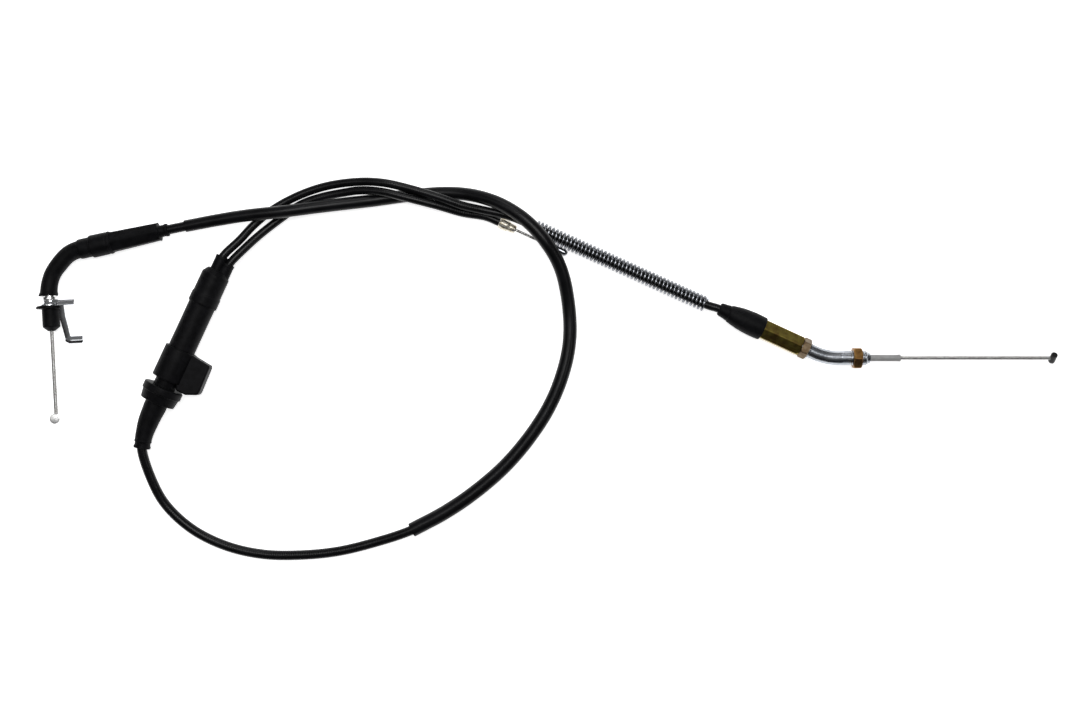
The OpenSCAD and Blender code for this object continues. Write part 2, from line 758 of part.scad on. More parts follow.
module oil_nipple() {
    r = oil_nipple_d / 2;
    to = oil_nipple_from + oil_nipple_len;
    color("silver") along(oil_exit, oil_heading) turned([
        [oil_wire_d / 2, oil_nipple_from], [r - 0.3, oil_nipple_from], [r, oil_nipple_from + 0.3],
        [r, to - 1], [r - 0.8, to], [0, to], [0, oil_nipple_from + oil_wire_grip],
        [oil_wire_d / 2, oil_nipple_from + oil_wire_grip]
    ]);
}

grip_nipple();
grip_wire();
grip_plug();
grip_bead();
grip_bracket();
grip_elbow_tube();
grip_elbow_cover();
grip_boot();
grip_lock_nut();
grip_adjuster();
throttle_casing();
throttle_sleeve();
splitter_boot();
splitter_collar();
splitter_housing();
splitter_barrel();
splitter_cap();
splitter_slider();
slider_throttle_wire();
slider_throttle_nipple();
slider_carb_wire();
slider_carb_nipple();
slider_oil_wire();
slider_oil_nipple();
carb_casing();
spring_guard();
carb_boot();
carb_casing_ferrule();
carb_adjuster();
adjuster_lock_nut();
carb_elbow();
carb_top_nut();
carb_liner();
carb_wire();
carb_nipple();
oil_casing();
oil_ferrule();
oil_wire();
oil_nipple();
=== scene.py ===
"""Looks for the throttle cable with a splitter. Each piece is skinned along its axis or route."""

import json
import math

import bmesh
import bpy
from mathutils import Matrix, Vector
from mathutils.noise import noise


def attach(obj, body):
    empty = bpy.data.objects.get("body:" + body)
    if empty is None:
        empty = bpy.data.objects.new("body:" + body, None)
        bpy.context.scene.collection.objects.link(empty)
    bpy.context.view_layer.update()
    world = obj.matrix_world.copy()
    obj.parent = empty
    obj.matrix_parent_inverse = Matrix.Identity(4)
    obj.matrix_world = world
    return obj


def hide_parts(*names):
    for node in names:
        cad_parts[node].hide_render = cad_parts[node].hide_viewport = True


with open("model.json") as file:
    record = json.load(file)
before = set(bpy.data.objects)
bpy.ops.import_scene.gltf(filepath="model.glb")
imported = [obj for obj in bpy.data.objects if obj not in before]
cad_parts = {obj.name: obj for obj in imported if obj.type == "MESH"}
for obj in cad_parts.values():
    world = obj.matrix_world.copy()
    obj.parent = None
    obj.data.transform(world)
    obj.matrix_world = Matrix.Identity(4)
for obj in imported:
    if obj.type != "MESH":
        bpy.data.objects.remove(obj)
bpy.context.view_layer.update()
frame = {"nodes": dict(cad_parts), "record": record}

MM = 0.001
TAU = 2 * math.pi

# ---------------------------------------------------------------- camera
CAMERA_AT = (-3.2, -13.4, 750.0)
CAMERA_LENS = 46.67


def add_camera():
    data = bpy.data.cameras.new("camera")
    data.lens = CAMERA_LENS
    data.sensor_width = 36
    data.clip_end = 10
    camera = bpy.data.objects.new("camera", data)
    camera.location = Vector(CAMERA_AT) * MM
    bpy.context.collection.objects.link(camera)
    bpy.context.scene.camera = camera


add_camera()


# ---------------------------------------------------------------- lines to skin along
def heading(angle):
    a = math.radians(angle)
    return Vector((math.cos(a), math.sin(a), 0))


def at(origin, angle, station, side=0):
    """A point in millimetres, at a station along a level axis and a distance to its left."""
    return Vector(origin) + station * heading(angle) + side * heading(angle + 90)


UP = Vector((0, 0, 1))


def axis_line(origin, angle, side=0):
    """Stations along a straight level axis."""
    start, way = at(origin, angle, 0, side), heading(angle)
    left = heading(angle + 90)
    return lambda s: (start + s * way, left, UP)


def bent_line(corner, radius, heading_in, heading_out):
    """Stations along two level axes and the bend between them, 0 at the middle of the bend."""
    turn = heading_out - heading_in
    way = math.copysign(1, turn)
    reach = radius * math.tan(math.radians(abs(turn) / 2))
    half = radius * math.radians(abs(turn)) / 2
    centre = at(corner, heading_in, -reach, way * radius)

    def line(s):
        if s <= -half:
            angle, point = heading_in, at(corner, heading_in, s + half - reach)
        elif s >= half:
            angle, point = heading_out, at(corner, heading_out, s - half + reach)
        else:
            angle = heading_in + way * math.degrees((s + half) / radius)
            point = centre - way * radius * heading(angle + 90)
        return point, heading(angle + 90), UP

    return line, half - reach


def smooth_path(points, step):
    """Points about a step apart on a centripetal Catmull-Rom curve through the route."""
    p = [Vector(q) for q in points]
    p = [2 * p[0] - p[1], *p, 2 * p[-1] - p[-2]]
    out = []
    for a, b, c, d in zip(p, p[1:], p[2:], p[3:]):
        t1 = (b - a).length ** 0.5
        t2 = t1 + (c - b).length ** 0.5
        t3 = t2 + (d - c).length ** 0.5
        count = max(1, round((c - b).length / step))
        for i in range(count):
            t = t1 + (t2 - t1) * i / count
            ab = a.lerp(b, t / t1)
            bc = b.lerp(c, (t - t1) / (t2 - t1))
            cd = c.lerp(d, (t - t2) / (t3 - t2))
            abc = ab.lerp(bc, t / t2)
            bcd = bc.lerp(cd, (t - t1) / (t3 - t1))
            out.append(abc.lerp(bcd, (t - t1) / (t2 - t1)))
    return [*out, p[-2]]


def route_line(path):
    """Stations in millimetres along a path, and its length."""
    far = [0.0]
    for a, b in zip(path, path[1:]):
        far.append(far[-1] + (b - a).length)

    def line(s):
        low, high = 0, len(far) - 2
        while low < high:
            mid = (low + high + 1) // 2
            low, high = (mid, high) if far[mid] <= s else (low, mid - 1)
        i = low
        t = (s - far[i]) / (far[i + 1] - far[i])
        way = path[min(i + 2, len(path) - 1)] - path[max(i - 1, 0)]
        left = UP.cross(way).normalized()
        return path[i].lerp(path[i + 1], t), left, way.cross(left).normalized()

    return line, far[-1]


# ---------------------------------------------------------------- skins
NEARLY_STRAIGHT = math.radians(172)


def filleted(profile, radius, steps=4):
    """The profile with each sharp corner rounded, as far as its neighbours leave room."""
    out = [profile[0]]
    for a, b, c in zip(profile, profile[1:], profile[2:]):
        a, b, c = Vector(a), Vector(b), Vector(c)
        before, after = a - b, c - b
        room = min(radius, before.length * 0.45, after.length * 0.45)
        if room < 1e-4 or before.angle(after) > NEARLY_STRAIGHT:
            out.append(tuple(b))
            continue
        start, end = b + before.normalized() * room, b + after.normalized() * room
        for i in range(steps + 1):
            t = i / steps
            out.append(tuple(start.lerp(b, t).lerp(b.lerp(end, t), t)))
    return [*out, profile[-1]]


def filled(profile, pitch):
    """The profile with points added so that none are further apart than the pitch."""
    out = [profile[0]]
    for (s0, r0), (s1, r1) in zip(profile, profile[1:]):
        count = max(1, math.ceil(abs(s1 - s0) / pitch))
        for i in range(1, count + 1):
            out.append((s0 + (s1 - s0) * i / count, r0 + (r1 - r0) * i / count))
    return out


def new_object(name, bm, sharp=32):
    bmesh.ops.recalc_face_normals(bm, faces=bm.faces)
    mesh = bpy.data.meshes.new(name)
    bm.to_mesh(mesh)
    bm.free()
    mesh.shade_smooth()
    mesh.set_sharp_from_angle(angle=math.radians(sharp))
    obj = bpy.data.objects.new(name, mesh)
    bpy.context.collection.objects.link(obj)
    return obj


def skin(name, line, profile, shape=None, sides=64, bore=None, pitch=None, sharp=32):
    """A closed skin around a line: profile is (station, radius) pairs in millimetres, shape(angle,
    station, radius) changes the radius, and bore is the radius of a hole right through."""
    rings = filled(profile, pitch) if pitch else profile
    bm = bmesh.new()

    def ring(station, radius, shaped):
        centre, left, up = line(station)
        verts = []
        for k in range(sides):
            a = TAU * k / sides
            r = shape(a, station, radius) if shaped and shape else radius
            verts.append(bm.verts.new((centre + r * (math.cos(a) * left + math.sin(a) * up)) * MM))
        return verts

    made = [ring(s, r, True) for s, r in rings]
    if bore:
        count = max(2, round(abs(rings[-1][0] - rings[0][0]) / (pitch or 4)))
        for i in range(count + 1):
            s = rings[-1][0] + (rings[0][0] - rings[-1][0]) * i / count
            made.append(ring(s, bore, False))
        made.append(made[0])
    for one, two in zip(made, made[1:]):
        for k in range(sides):
            n = (k + 1) % sides
            bm.faces.new((one[k], one[n], two[n], two[k]))
    if not bore:
        for verts, (s, _) in ((made[0], rings[0]), (made[-1], rings[-1])):
            hub = bm.verts.new(line(s)[0] * MM)
            for k in range(sides):
                bm.faces.new((hub, verts[k], verts[(k + 1) % sides]))
    return new_object(name, bm, sharp)


def hexed(flats, spin, soft=0.12):
    """A shape that cuts a round skin to a hexagon with softened corners."""

    def shape(angle, station, radius):
        turn = (angle - math.radians(spin) + TAU / 12) % (TAU / 6) - TAU / 12
        corner = flats / 2 / math.cos(turn)
        worn = flats / 2 / math.cos(math.radians(30)) - soft
        r = min(corner, worn + (corner - worn) * 0.35 if corner > worn else corner)
        return min(r, radius)

    return shape


def threaded(pitch, depth):
    def shape(angle, station, radius):
        wave = abs(((station / pitch - angle / TAU) % 1) - 0.5) * 2
        return radius - depth * min(1, max(0, wave * 1.3 - 0.15))

    return shape


def stranded(strands, lay, depth):
    """Strands laid round a wire, one turn in each lay."""

    def shape(angle, station, radius):
        wave = abs(math.sin(strands / 2 * (angle - TAU * station / lay)))
        return radius * (1 - depth + depth * wave)

    return shape


def lumpy(shape, size, depth):
    """Adds the small unevenness of a moulded or crimped surface."""

    def out(angle, station, radius):
        r = shape(angle, station, radius) if shape else radius
        p = Vector((math.cos(angle) * radius, math.sin(angle) * radius, station)) / size
        return r + depth * noise(p)

    return out


# ---------------------------------------------------------------- materials
NOISE_DETAIL = 4
PATCH_FROM, PATCH_TO = 0.35, 0.62
GLOSS_SPREAD = 0.8, 1.25


def material(name, colour, roughness, metallic=0.0, tint=None, grain=900, grain_depth=0.00002,
             patch=60, specular=0.5):
    """A principled surface: patches of a second colour, fine grain in the bump and the gloss."""
    mat = bpy.data.materials.new(name)
    mat.use_nodes = True
    nodes, links = mat.node_tree.nodes, mat.node_tree.links
    shader = nodes["Principled BSDF"]
    shader.inputs["Metallic"].default_value = metallic
    shader.inputs["Specular IOR Level"].default_value = specular
    place = nodes.new("ShaderNodeTexCoord").outputs["Object"]

    def noise_at(scale):
        tex = nodes.new("ShaderNodeTexNoise")
        tex.inputs["Scale"].default_value = scale
        tex.inputs["Detail"].default_value = NOISE_DETAIL
        links.new(place, tex.inputs["Vector"])
        return tex.outputs["Fac"]

    def ramp(source, stops):
        node = nodes.new("ShaderNodeValToRGB")
        links.new(source, node.inputs["Fac"])
        for i, (spot, value) in enumerate(stops):
            stop = node.color_ramp.elements[i]
            stop.position = spot
            stop.color = (*value, 1)
        return node.outputs["Color"]

    second = tint or tuple(c * 0.8 for c in colour)
    stops = [(PATCH_FROM, second), (PATCH_TO, colour)]
    links.new(ramp(noise_at(patch), stops), shader.inputs["Base Color"])
    rough = nodes.new("ShaderNodeMapRange")
    rough.inputs["To Min"].default_value = roughness * GLOSS_SPREAD[0]
    rough.inputs["To Max"].default_value = min(1, roughness * GLOSS_SPREAD[1])
    links.new(noise_at(grain * 0.4), rough.inputs["Value"])
    links.new(rough.outputs["Result"], shader.inputs["Roughness"])
    bump = nodes.new("ShaderNodeBump")
    bump.inputs["Strength"].default_value = 1
    bump.inputs["Distance"].default_value = grain_depth
    links.new(noise_at(grain), bump.inputs["Height"])
    links.new(bump.outputs["Normal"], shader.inputs["Normal"])
    return mat


def make_materials():
    """One material for each slot of the record, and two finishes that a slot's pieces share."""
    black = (0.003, 0.003, 0.0035)
    worn_black = (0.006, 0.006, 0.007)
    return {
        "black_rubber": material("rubber", black, 0.5, tint=worn_black, patch=250, grain=2200,
                                 grain_depth=0.00005, specular=0.07),
        "black_plastic": material("plastic", black, 0.46, tint=worn_black, patch=350, grain=1500,
                                  grain_depth=0.00004, specular=0.07),
        "casing_black": material("casing", black, 0.27, tint=worn_black, patch=120, grain=2500,
                                 specular=0.16),
        "sleeve_black": material("sleeve", black, 0.3, tint=worn_black, patch=100, grain=1800,
                                 specular=0.14),
        "wire": material("strand", (0.5, 0.5, 0.49), 0.38, 1.0, tint=(0.26, 0.25, 0.24), patch=900),
        "zinc": material("zinc", (0.8, 0.8, 0.8), 0.24, 1.0, tint=(0.62, 0.62, 0.61), patch=300),
        "chrome_plate": material("chrome", (0.86, 0.87, 0.89), 0.13, 1.0,
                                 tint=(0.74, 0.76, 0.79), patch=200, grain=700,
                                 grain_depth=0.00001),
        "brass": material("brass", (0.42, 0.34, 0.08), 0.3, 1.0, tint=(0.24, 0.155, 0.045),
                          patch=260, grain_depth=0.00004),
        "passivated": material("passivated", (0.16, 0.12, 0.075), 0.36, 1.0,
                               tint=(0.08, 0.05, 0.028), patch=280, grain_depth=0.00005),
        "orange_passivated": material("orange", (0.33, 0.18, 0.055), 0.34, 1.0,
                                      tint=(0.17, 0.085, 0.03), patch=250),
        "liner_grey": material("liner", (0.34, 0.34, 0.34), 0.42, tint=(0.26, 0.26, 0.26),
                               patch=300),
        "nylon": material("nylon", (0.8, 0.78, 0.72), 0.5, patch=200),
        "dark_nipple": material("dark_steel", (0.02, 0.02, 0.02), 0.35, 0.6,
                                tint=(0.008, 0.008, 0.008), patch=600),
        "coil_steel": material("coil_steel", (0.27, 0.28, 0.3), 0.2, 1.0,
                               tint=(0.16, 0.165, 0.18), patch=500),
        "elbow_steel": material("elbow_steel", (0.46, 0.48, 0.51), 0.24, 1.0,
                                tint=(0.3, 0.32, 0.35), patch=160, grain=1500),
        "ferrule_steel": material("ferrule", (0.8, 0.77, 0.7), 0.42, 1.0,
                                  tint=(0.42, 0.36, 0.24), patch=700, grain_depth=0.00008),
    }


MATERIALS = make_materials()
SLOT_OF = {s["node"]: s["material_slot"] for s in frame["record"]["subparts"]}


def dressed(obj, body, *nodes, finish=None):
    """The piece takes the first node's finish, rides on a body and stands for the nodes."""
    slot = SLOT_OF[nodes[0]]
    obj.data.materials.append(MATERIALS[finish or slot])
    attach(obj, body)
    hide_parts(*nodes)
    return obj


# ---------------------------------------------------------------- places, as the CAD has them
GRIP = (-264, 41.5, 8)
BOOT_AXIS = 12.5
NOSE_AXIS = -87
SPLITTER = (-202.3, -28.9, 10.6)
SPLITTER_AXIS = 65.15
CARB = (148.4, -12.3, 6.5)
CARB_AXIS = -24.8
OIL = (-16.3, 56.1, 3.1)
OIL_AXIS = -25
GUARD = (Vector((-5, 56.8, 6.4)), Vector((85, 16, 6.3)))
GUARD_TURNS, GUARD_COIL_R, GUARD_WIRE_R = 46, 3.52, 0.78
THROTTLE_D, BRANCH_D = 5.2, 4.5
WIRE_D, OIL_WIRE_D = 2.0, 1.5
SLEEVE_ENDS_D = (6.4, 7.8)
SPLITTER_BOOT_R, SPLITTER_BOOT_TURN = 60, 18
BOOT_START = at(SPLITTER, SPLITTER_AXIS, -14.4)
BOOT_OUT = SPLITTER_AXIS + 180


def boot_point(turn):
    centre = BOOT_START + SPLITTER_BOOT_R * heading(BOOT_OUT + 90)
    return centre + SPLITTER_BOOT_R * heading(BOOT_OUT - 90 + turn)


BOOT_TIP = boot_point(SPLITTER_BOOT_TURN)
BOOT_TIP_AXIS = BOOT_OUT + SPLITTER_BOOT_TURN

SLEEVED_ROUTE = [
    (-191, 57.5, 8.2), (-174.5, 60.5, 9.4), (-157.5, 63, 10.8), (-139.5, 64.8, 11.3),
    (-122, 67.3, 9.8), (-106.5, 69.5, 7.4), (-92, 71.5, 4.8), (-75, 74, 3.6),
    (-56.5, 75.5, 3.8), (-44.5, 75, 5.2), (-32.5, 72.3, 8.9), (-21.5, 67.5, 12.1),
    (-10, 59.5, 14.1), (0, 48.5, 14.3), (7.5, 35.5, 10.4), (12, 16, 4.8), (12.5, -3.5, 3.8),
    (8.5, -22, 3.8), (1, -39.5, 3.8), (-9.5, -55.5, 3.9), (-23, -71, 3.9),
    (-39.5, -85, 3.9), (-54.5, -95, 3.9), (-71.5, -104, 3.9),
]
BARE_ROUTE = [
    (-90.5, -110.5, 2.7), (-111, -115.5, 2.7), (-131.5, -117.5, 2.7), (-151.5, -117, 2.7),
    (-171, -112.5, 2.7), (-189, -103.5, 2.8), (-203, -90, 4), (-210, -75, 7.2),
]
THROTTLE_ROUTE = [
    at(GRIP, BOOT_AXIS, 46.5), at(GRIP, BOOT_AXIS, 65.4), *SLEEVED_ROUTE, *BARE_ROUTE,
    BOOT_TIP, BOOT_TIP - 5 * heading(BOOT_TIP_AXIS),
]
CARB_ROUTE = [
    at(SPLITTER, SPLITTER_AXIS, 72, 0.8), at(SPLITTER, SPLITTER_AXIS, 77, 0.8),
    (-162.3, 50.1, 8.4), (-155, 58.5, 6.2), (-145, 67, 4.5), (-131, 74.5, 4.3),
    (-116, 79.3, 5), (-98, 81.2, 7.4), (-85.5, 80.2, 9.8), (-73.5, 77.5, 10.2),
    (-56, 72.3, 10.3), (-44.5, 68.4, 9.2), (-34, 66.2, 7.6), (-23.5, 64, 7.2),
    (-16, 61.7, 6.8), GUARD[0], GUARD[1],
    at(CARB, CARB_AXIS, -62.2), at(CARB, CARB_AXIS, -44.5),
]
OIL_ROUTE = [
    at(SPLITTER, SPLITTER_AXIS, 69.5, -4), at(SPLITTER, SPLITTER_AXIS, 74.5, -4),
    (-158.8, 46.4, 8.6), (-151, 54, 6.2), (-140.5, 62.5, 4.4), (-131, 69.3, 3.6),
    (-120.5, 73.1, 4), (-108, 75.6, 5), (-98, 76.6, 7.2), (-86.5, 75.5, 9.4),
    (-74.5, 72.6, 9.8), (-57.5, 68.4, 8.2), (-44.5, 64.9, 5.6), (-32, 63, 3.3),
    at(OIL, OIL_AXIS, -9.4), at(OIL, OIL_AXIS, -3.4),
]
PATH_STEP = 1.0
RIB_PITCH, RIB_DEPTH = 1.2, 0.04
CASING_BORE_R = 1.4


# ---------------------------------------------------------------- cords
def ribbed(angle, station, radius):
    """The faint ribs that a casing's spiral lay leaves in its coating."""
    return radius - RIB_DEPTH * (0.5 + 0.5 * math.cos(TAU * (station / RIB_PITCH - angle / TAU)))


def casing(name, route, diameter, node):
    path = smooth_path(route, PATH_STEP)
    line, length = route_line(path)
    r = diameter / 2
    obj = skin(name, line, [(0, r), (length, r)], ribbed, sides=24, bore=CASING_BORE_R,
               pitch=RIB_PITCH / 4)
    dressed(obj, "cable_body", node)
    return obj


def add_sleeve():
    path = smooth_path(SLEEVED_ROUTE, PATH_STEP)
    line, length = route_line(path)
    tight, loose = (d / 2 for d in SLEEVE_ENDS_D)
    profile = filled([(0, tight), (length, loose)], 1)
    snug = THROTTLE_D / 2 + 0.02
    obj = skin("sleeve", line, profile, lumpy(None, 9, 0.05), sides=32, bore=snug)
    return dressed(obj, "cable_body", "throttle_sleeve")


def lathe(name, line, profile, body, node, round_off=0.25, **how):
    """A skin with softened corners, dressed as its CAD node."""
    return dressed(skin(name, line, filleted(profile, round_off), **how), body, node)


def add_oil_ferrule():
    """A ferrule squeezed at its waist and pressed into faint flats all along."""
    waist, waist_width = -3.2, 1.1

    def crimp(angle, station, radius):
        squeeze = 0.28 * math.exp(-(((station - waist) / waist_width) ** 2))
        flats = 0.12 * abs(math.sin(4 * angle))
        return radius - squeeze * abs(math.cos(2 * angle)) - flats

    profile = [(-9.4, 2.45), (-8.9, 2.75), (-7, 3.0), (-4.6, 2.85), (-0.3, 2.1), (0, 1.9)]
    return lathe("oil_ferrule_crimp", axis_line(OIL, OIL_AXIS), profile, "cable_body",
                 "oil_ferrule", 0.3, shape=lumpy(crimp, 1.2, 0.05), sides=48, bore=1.0,
                 pitch=0.3)


def add_cords():
    ferrule = add_oil_ferrule()
    sleeve = add_sleeve()
    casing("throttle_casing_skin", THROTTLE_ROUTE, THROTTLE_D, "throttle_casing")
    casing("carb_casing_skin", CARB_ROUTE, BRANCH_D, "carb_casing")
    casing("oil_casing_skin", OIL_ROUTE, BRANCH_D, "oil_casing")


# ---------------------------------------------------------------- grip end
def add_wire(name, line, ends, radius, body, node):
    """A stranded wire between two stations."""
    strands, lay, groove = 6, 9, 0.2
    profile = [(ends[0], radius), (ends[1], radius)]
    wire = skin(name, line, profile, stranded(strands, lay, groove), sides=36, pitch=0.35, sharp=80)
    return dressed(wire, body, node)


def add_nipple(name, centre, radius, length, tilt, azimuth, body, node, round_off=0.35):
    """A turned slug lying across its wire, or standing on end with a tilt of 90."""
    up = heading(azimuth) * math.cos(math.radians(tilt)) + UP * math.sin(math.radians(tilt))
    side = up.orthogonal().normalized()
    other = up.cross(side)
    start = Vector(centre) - up * length / 2
    profile = filleted([(0, 0.01), (0, radius), (length, radius), (length, 0.01)], round_off)
    obj = skin(name, lambda s: (start + s * up, side, other), profile, sides=56)
    return dressed(obj, body, node)


TAB_SIDES = 6.4, 15


def prism(bm, front, back):
    """Two outlines with a wall between them."""
    front = [bm.verts.new(point) for point in front]
    back = [bm.verts.new(point) for point in back]
    bm.faces.new(front)
    bm.faces.new(list(reversed(back)))
    for k in range(len(front)):
        n = (k + 1) % len(front)
        bm.faces.new((front[k], back[k], back[n], front[n]))


def add_bracket():
    """Pressed bracket: a flared hub that turns on the tube, an arm, and a tab bent over it."""
    origin, angle = Vector(GRIP), NOSE_AXIS
    way, left = heading(angle), heading(angle + 90)

    def spot(x, y, z):
        return (origin + z * way + y * left - x * UP) * MM

    hub_from = 23.4
    hub = skin("bracket_hub", axis_line(GRIP, angle),
               filleted([(hub_from, 4.1), (24.2, 4.4), (25.7, 5.5), (26.1, 5.5)], 0.3), bore=3.3)
    bm = bmesh.new()
    thick, top, inner = 2.2, 7.5, 0.8
    outer = inner + thick
    near, far = TAB_SIDES
    arm = [(8, 1), (8, 12), (5, far), (-4.5, far), (-4.5, near), (-3, 2), (0, 3.2), (4, 3.2)]
    prism(bm, [spot(x, y, hub_from) for x, y in arm],
          [spot(x, y, hub_from + thick) for x, y in arm])
    tab_start = hub_from + outer
    steps = 8
    rows = []
    for i in range(steps + 1):
        a = TAU / 4 * i / steps
        row = []
        for r in (outer, inner):
            for y in (near, far):
                row.append(bm.verts.new(spot(outer - top - r * math.sin(a), y,
                                             tab_start - r * math.cos(a))))
        rows.append(row)
    for one, two in zip(rows, rows[1:]):
        for i, j in ((0, 1), (1, 3), (3, 2), (2, 0)):
            bm.faces.new((one[i], one[j], two[j], two[i]))
    bm.faces.new(rows[0][:2] + rows[0][3:1:-1])
    bm.faces.new(rows[-1][:2] + rows[-1][3:1:-1])
    add_tab(bm, lambda x, y, z: spot(x, y, tab_start + z), -top, thick)
    plate = new_object("bracket_plate", bm, 30)
    edge = plate.modifiers.new("edge", "BEVEL")
    edge.width = 0.0004
    edge.segments = 3
    edge.limit_method = "ANGLE"
    dressed(hub, "bracket", "grip_bracket")
    dressed(plate, "bracket", "grip_bracket")


def add_tab(bm, spot, face, thick):
    """The tab: its near edge is rolled down, its far edge bulges and its tip curls up."""
    length, rows, columns = 20.6, 40, 14
    layers = []
    for lift in (0, thick):
        layer = []
        for i in range(rows + 1):
            t = i / rows
            near = TAB_SIDES[0] + 3.1 * max(0, t - 0.3) / 0.7
            bulge = 0.9 * math.sin(math.pi * t)
            far = TAB_SIDES[1] + 4 * t + bulge - 0.7 * max(0, t - 0.96) / 0.04
            curl = 0.9 * math.sin(math.pi * min(1, max(0, (t - 0.84) / 0.16)))
            row = []
            for k in range(columns + 1):
                u = k / columns
                roll = 1.4 * (max(0, 0.4 - u) / 0.4) ** 2
                row.append(bm.verts.new(spot(face + roll - curl + lift, near + (far - near) * u,
                                             length * t)))
            layer.append(row)
        layers.append(layer)
        for one, two in zip(layer, layer[1:]):
            for k in range(columns):
                bm.faces.new((one[k], one[k + 1], two[k + 1], two[k]))
    top, low = layers
    rim = [*((0, k) for k in range(columns)), *((i, columns) for i in range(rows)),
           *((rows, columns - k) for k in range(columns)), *((rows - i, 0) for i in range(rows))]
    for (i, k), (m, n) in zip(rim, [*rim[1:], rim[0]]):
        bm.faces.new((top[i][k], top[m][n], low[m][n], low[i][k]))


def add_grip_end():
    nose = axis_line(GRIP, NOSE_AXIS)
    boot = axis_line(GRIP, BOOT_AXIS)
    add_wire("grip_wire_strand", nose, (20, 86.1), WIRE_D / 2, "grip_wire_set", "grip_wire")
    add_nipple("grip_nipple_slug", at(GRIP, NOSE_AXIS, 86.1), 2.65, 6, 90, 0, "grip_wire_set",
               "grip_nipple")
    profile = [(26.3, 6.9), (26.8, 7.35), (27.8, 7.35), (27.8, 4.5), (37.4, 4.5), (39.6, 1.8),
               (39.6, 1.5)]
    lathe("plug", nose, profile, "cable_body", "grip_plug", 0.3, bore=1.3)
    lathe("bead", nose, [(21.6, 3.1), (21.6, 4), (23.2, 4), (23.2, 3.1)], "cable_body", "grip_bead",
          0.5, bore=3.0)
    add_bracket()

    bend, slack = bent_line(GRIP, 20, BOOT_AXIS + 180, NOSE_AXIS + 360)

    def nose_at(station):
        return station + slack

    def boot_at(station):
        return -station - slack

    tube = skin("elbow_tube", bend, [(boot_at(40), 3), (nose_at(26.3), 3)], bore=1.6, pitch=1.5)
    dressed(tube, "cable_body", "grip_elbow_tube")
    cover = [(boot_at(17.3), 4.75), (boot_at(14), 4.6), (nose_at(12), 4.3), (nose_at(18.6), 4.45),
             (nose_at(20.2), 4.95), (nose_at(20.9), 4.95)]

    def leaning(angle, station, radius):
        """The rubber cuts the corner of the bend and leans outward at its mouth."""
        inward = 1.1 * math.exp(-((station / 8) ** 2)) - 0.9 * (max(0, station - 9) / 9) ** 2
        return radius + inward * math.cos(angle)

    skinned = skin("elbow_cover", bend, filled(filleted(cover, 0.3), 1), lumpy(leaning, 6, 0.09),
                   bore=3.1)
    dressed(skinned, "cable_body", "grip_elbow_cover")

    grip_from, grip_to = 34.8, 60.6

    def boot_shape(angle, station, radius):
        """Six tapering flats between the collars."""
        if grip_from < station < grip_to:
            return hexed(10.4 - 0.05 * (station - grip_from), 0, 0.35)(angle, station, radius)
        return radius

    profile = [(17, 4.6), (17.1, 5.1), (18, 5.3), (23.6, 5.3), (23.7, 5.9), (24.2, 6.05),
               (32.2, 6.0), (32.6, 5.8), (33, 5.8), (33.2, 6.05), (34.2, 6.05), (34.7, 5.6),
               (35, 6.0), (59.8, 5.9), (60.7, 4.9), (60.8, 3.15), (63.6, 3.1), (63.9, 3.4),
               (65.2, 3.4), (65.4, 3.1)]
    rubber = skin("grip_boot_skin", boot, filled(filleted(profile, 0.25), 0.8),
                  lumpy(boot_shape, 5, 0.05), sides=96, bore=2.7, sharp=25)
    dressed(rubber, "cable_body", "grip_boot")


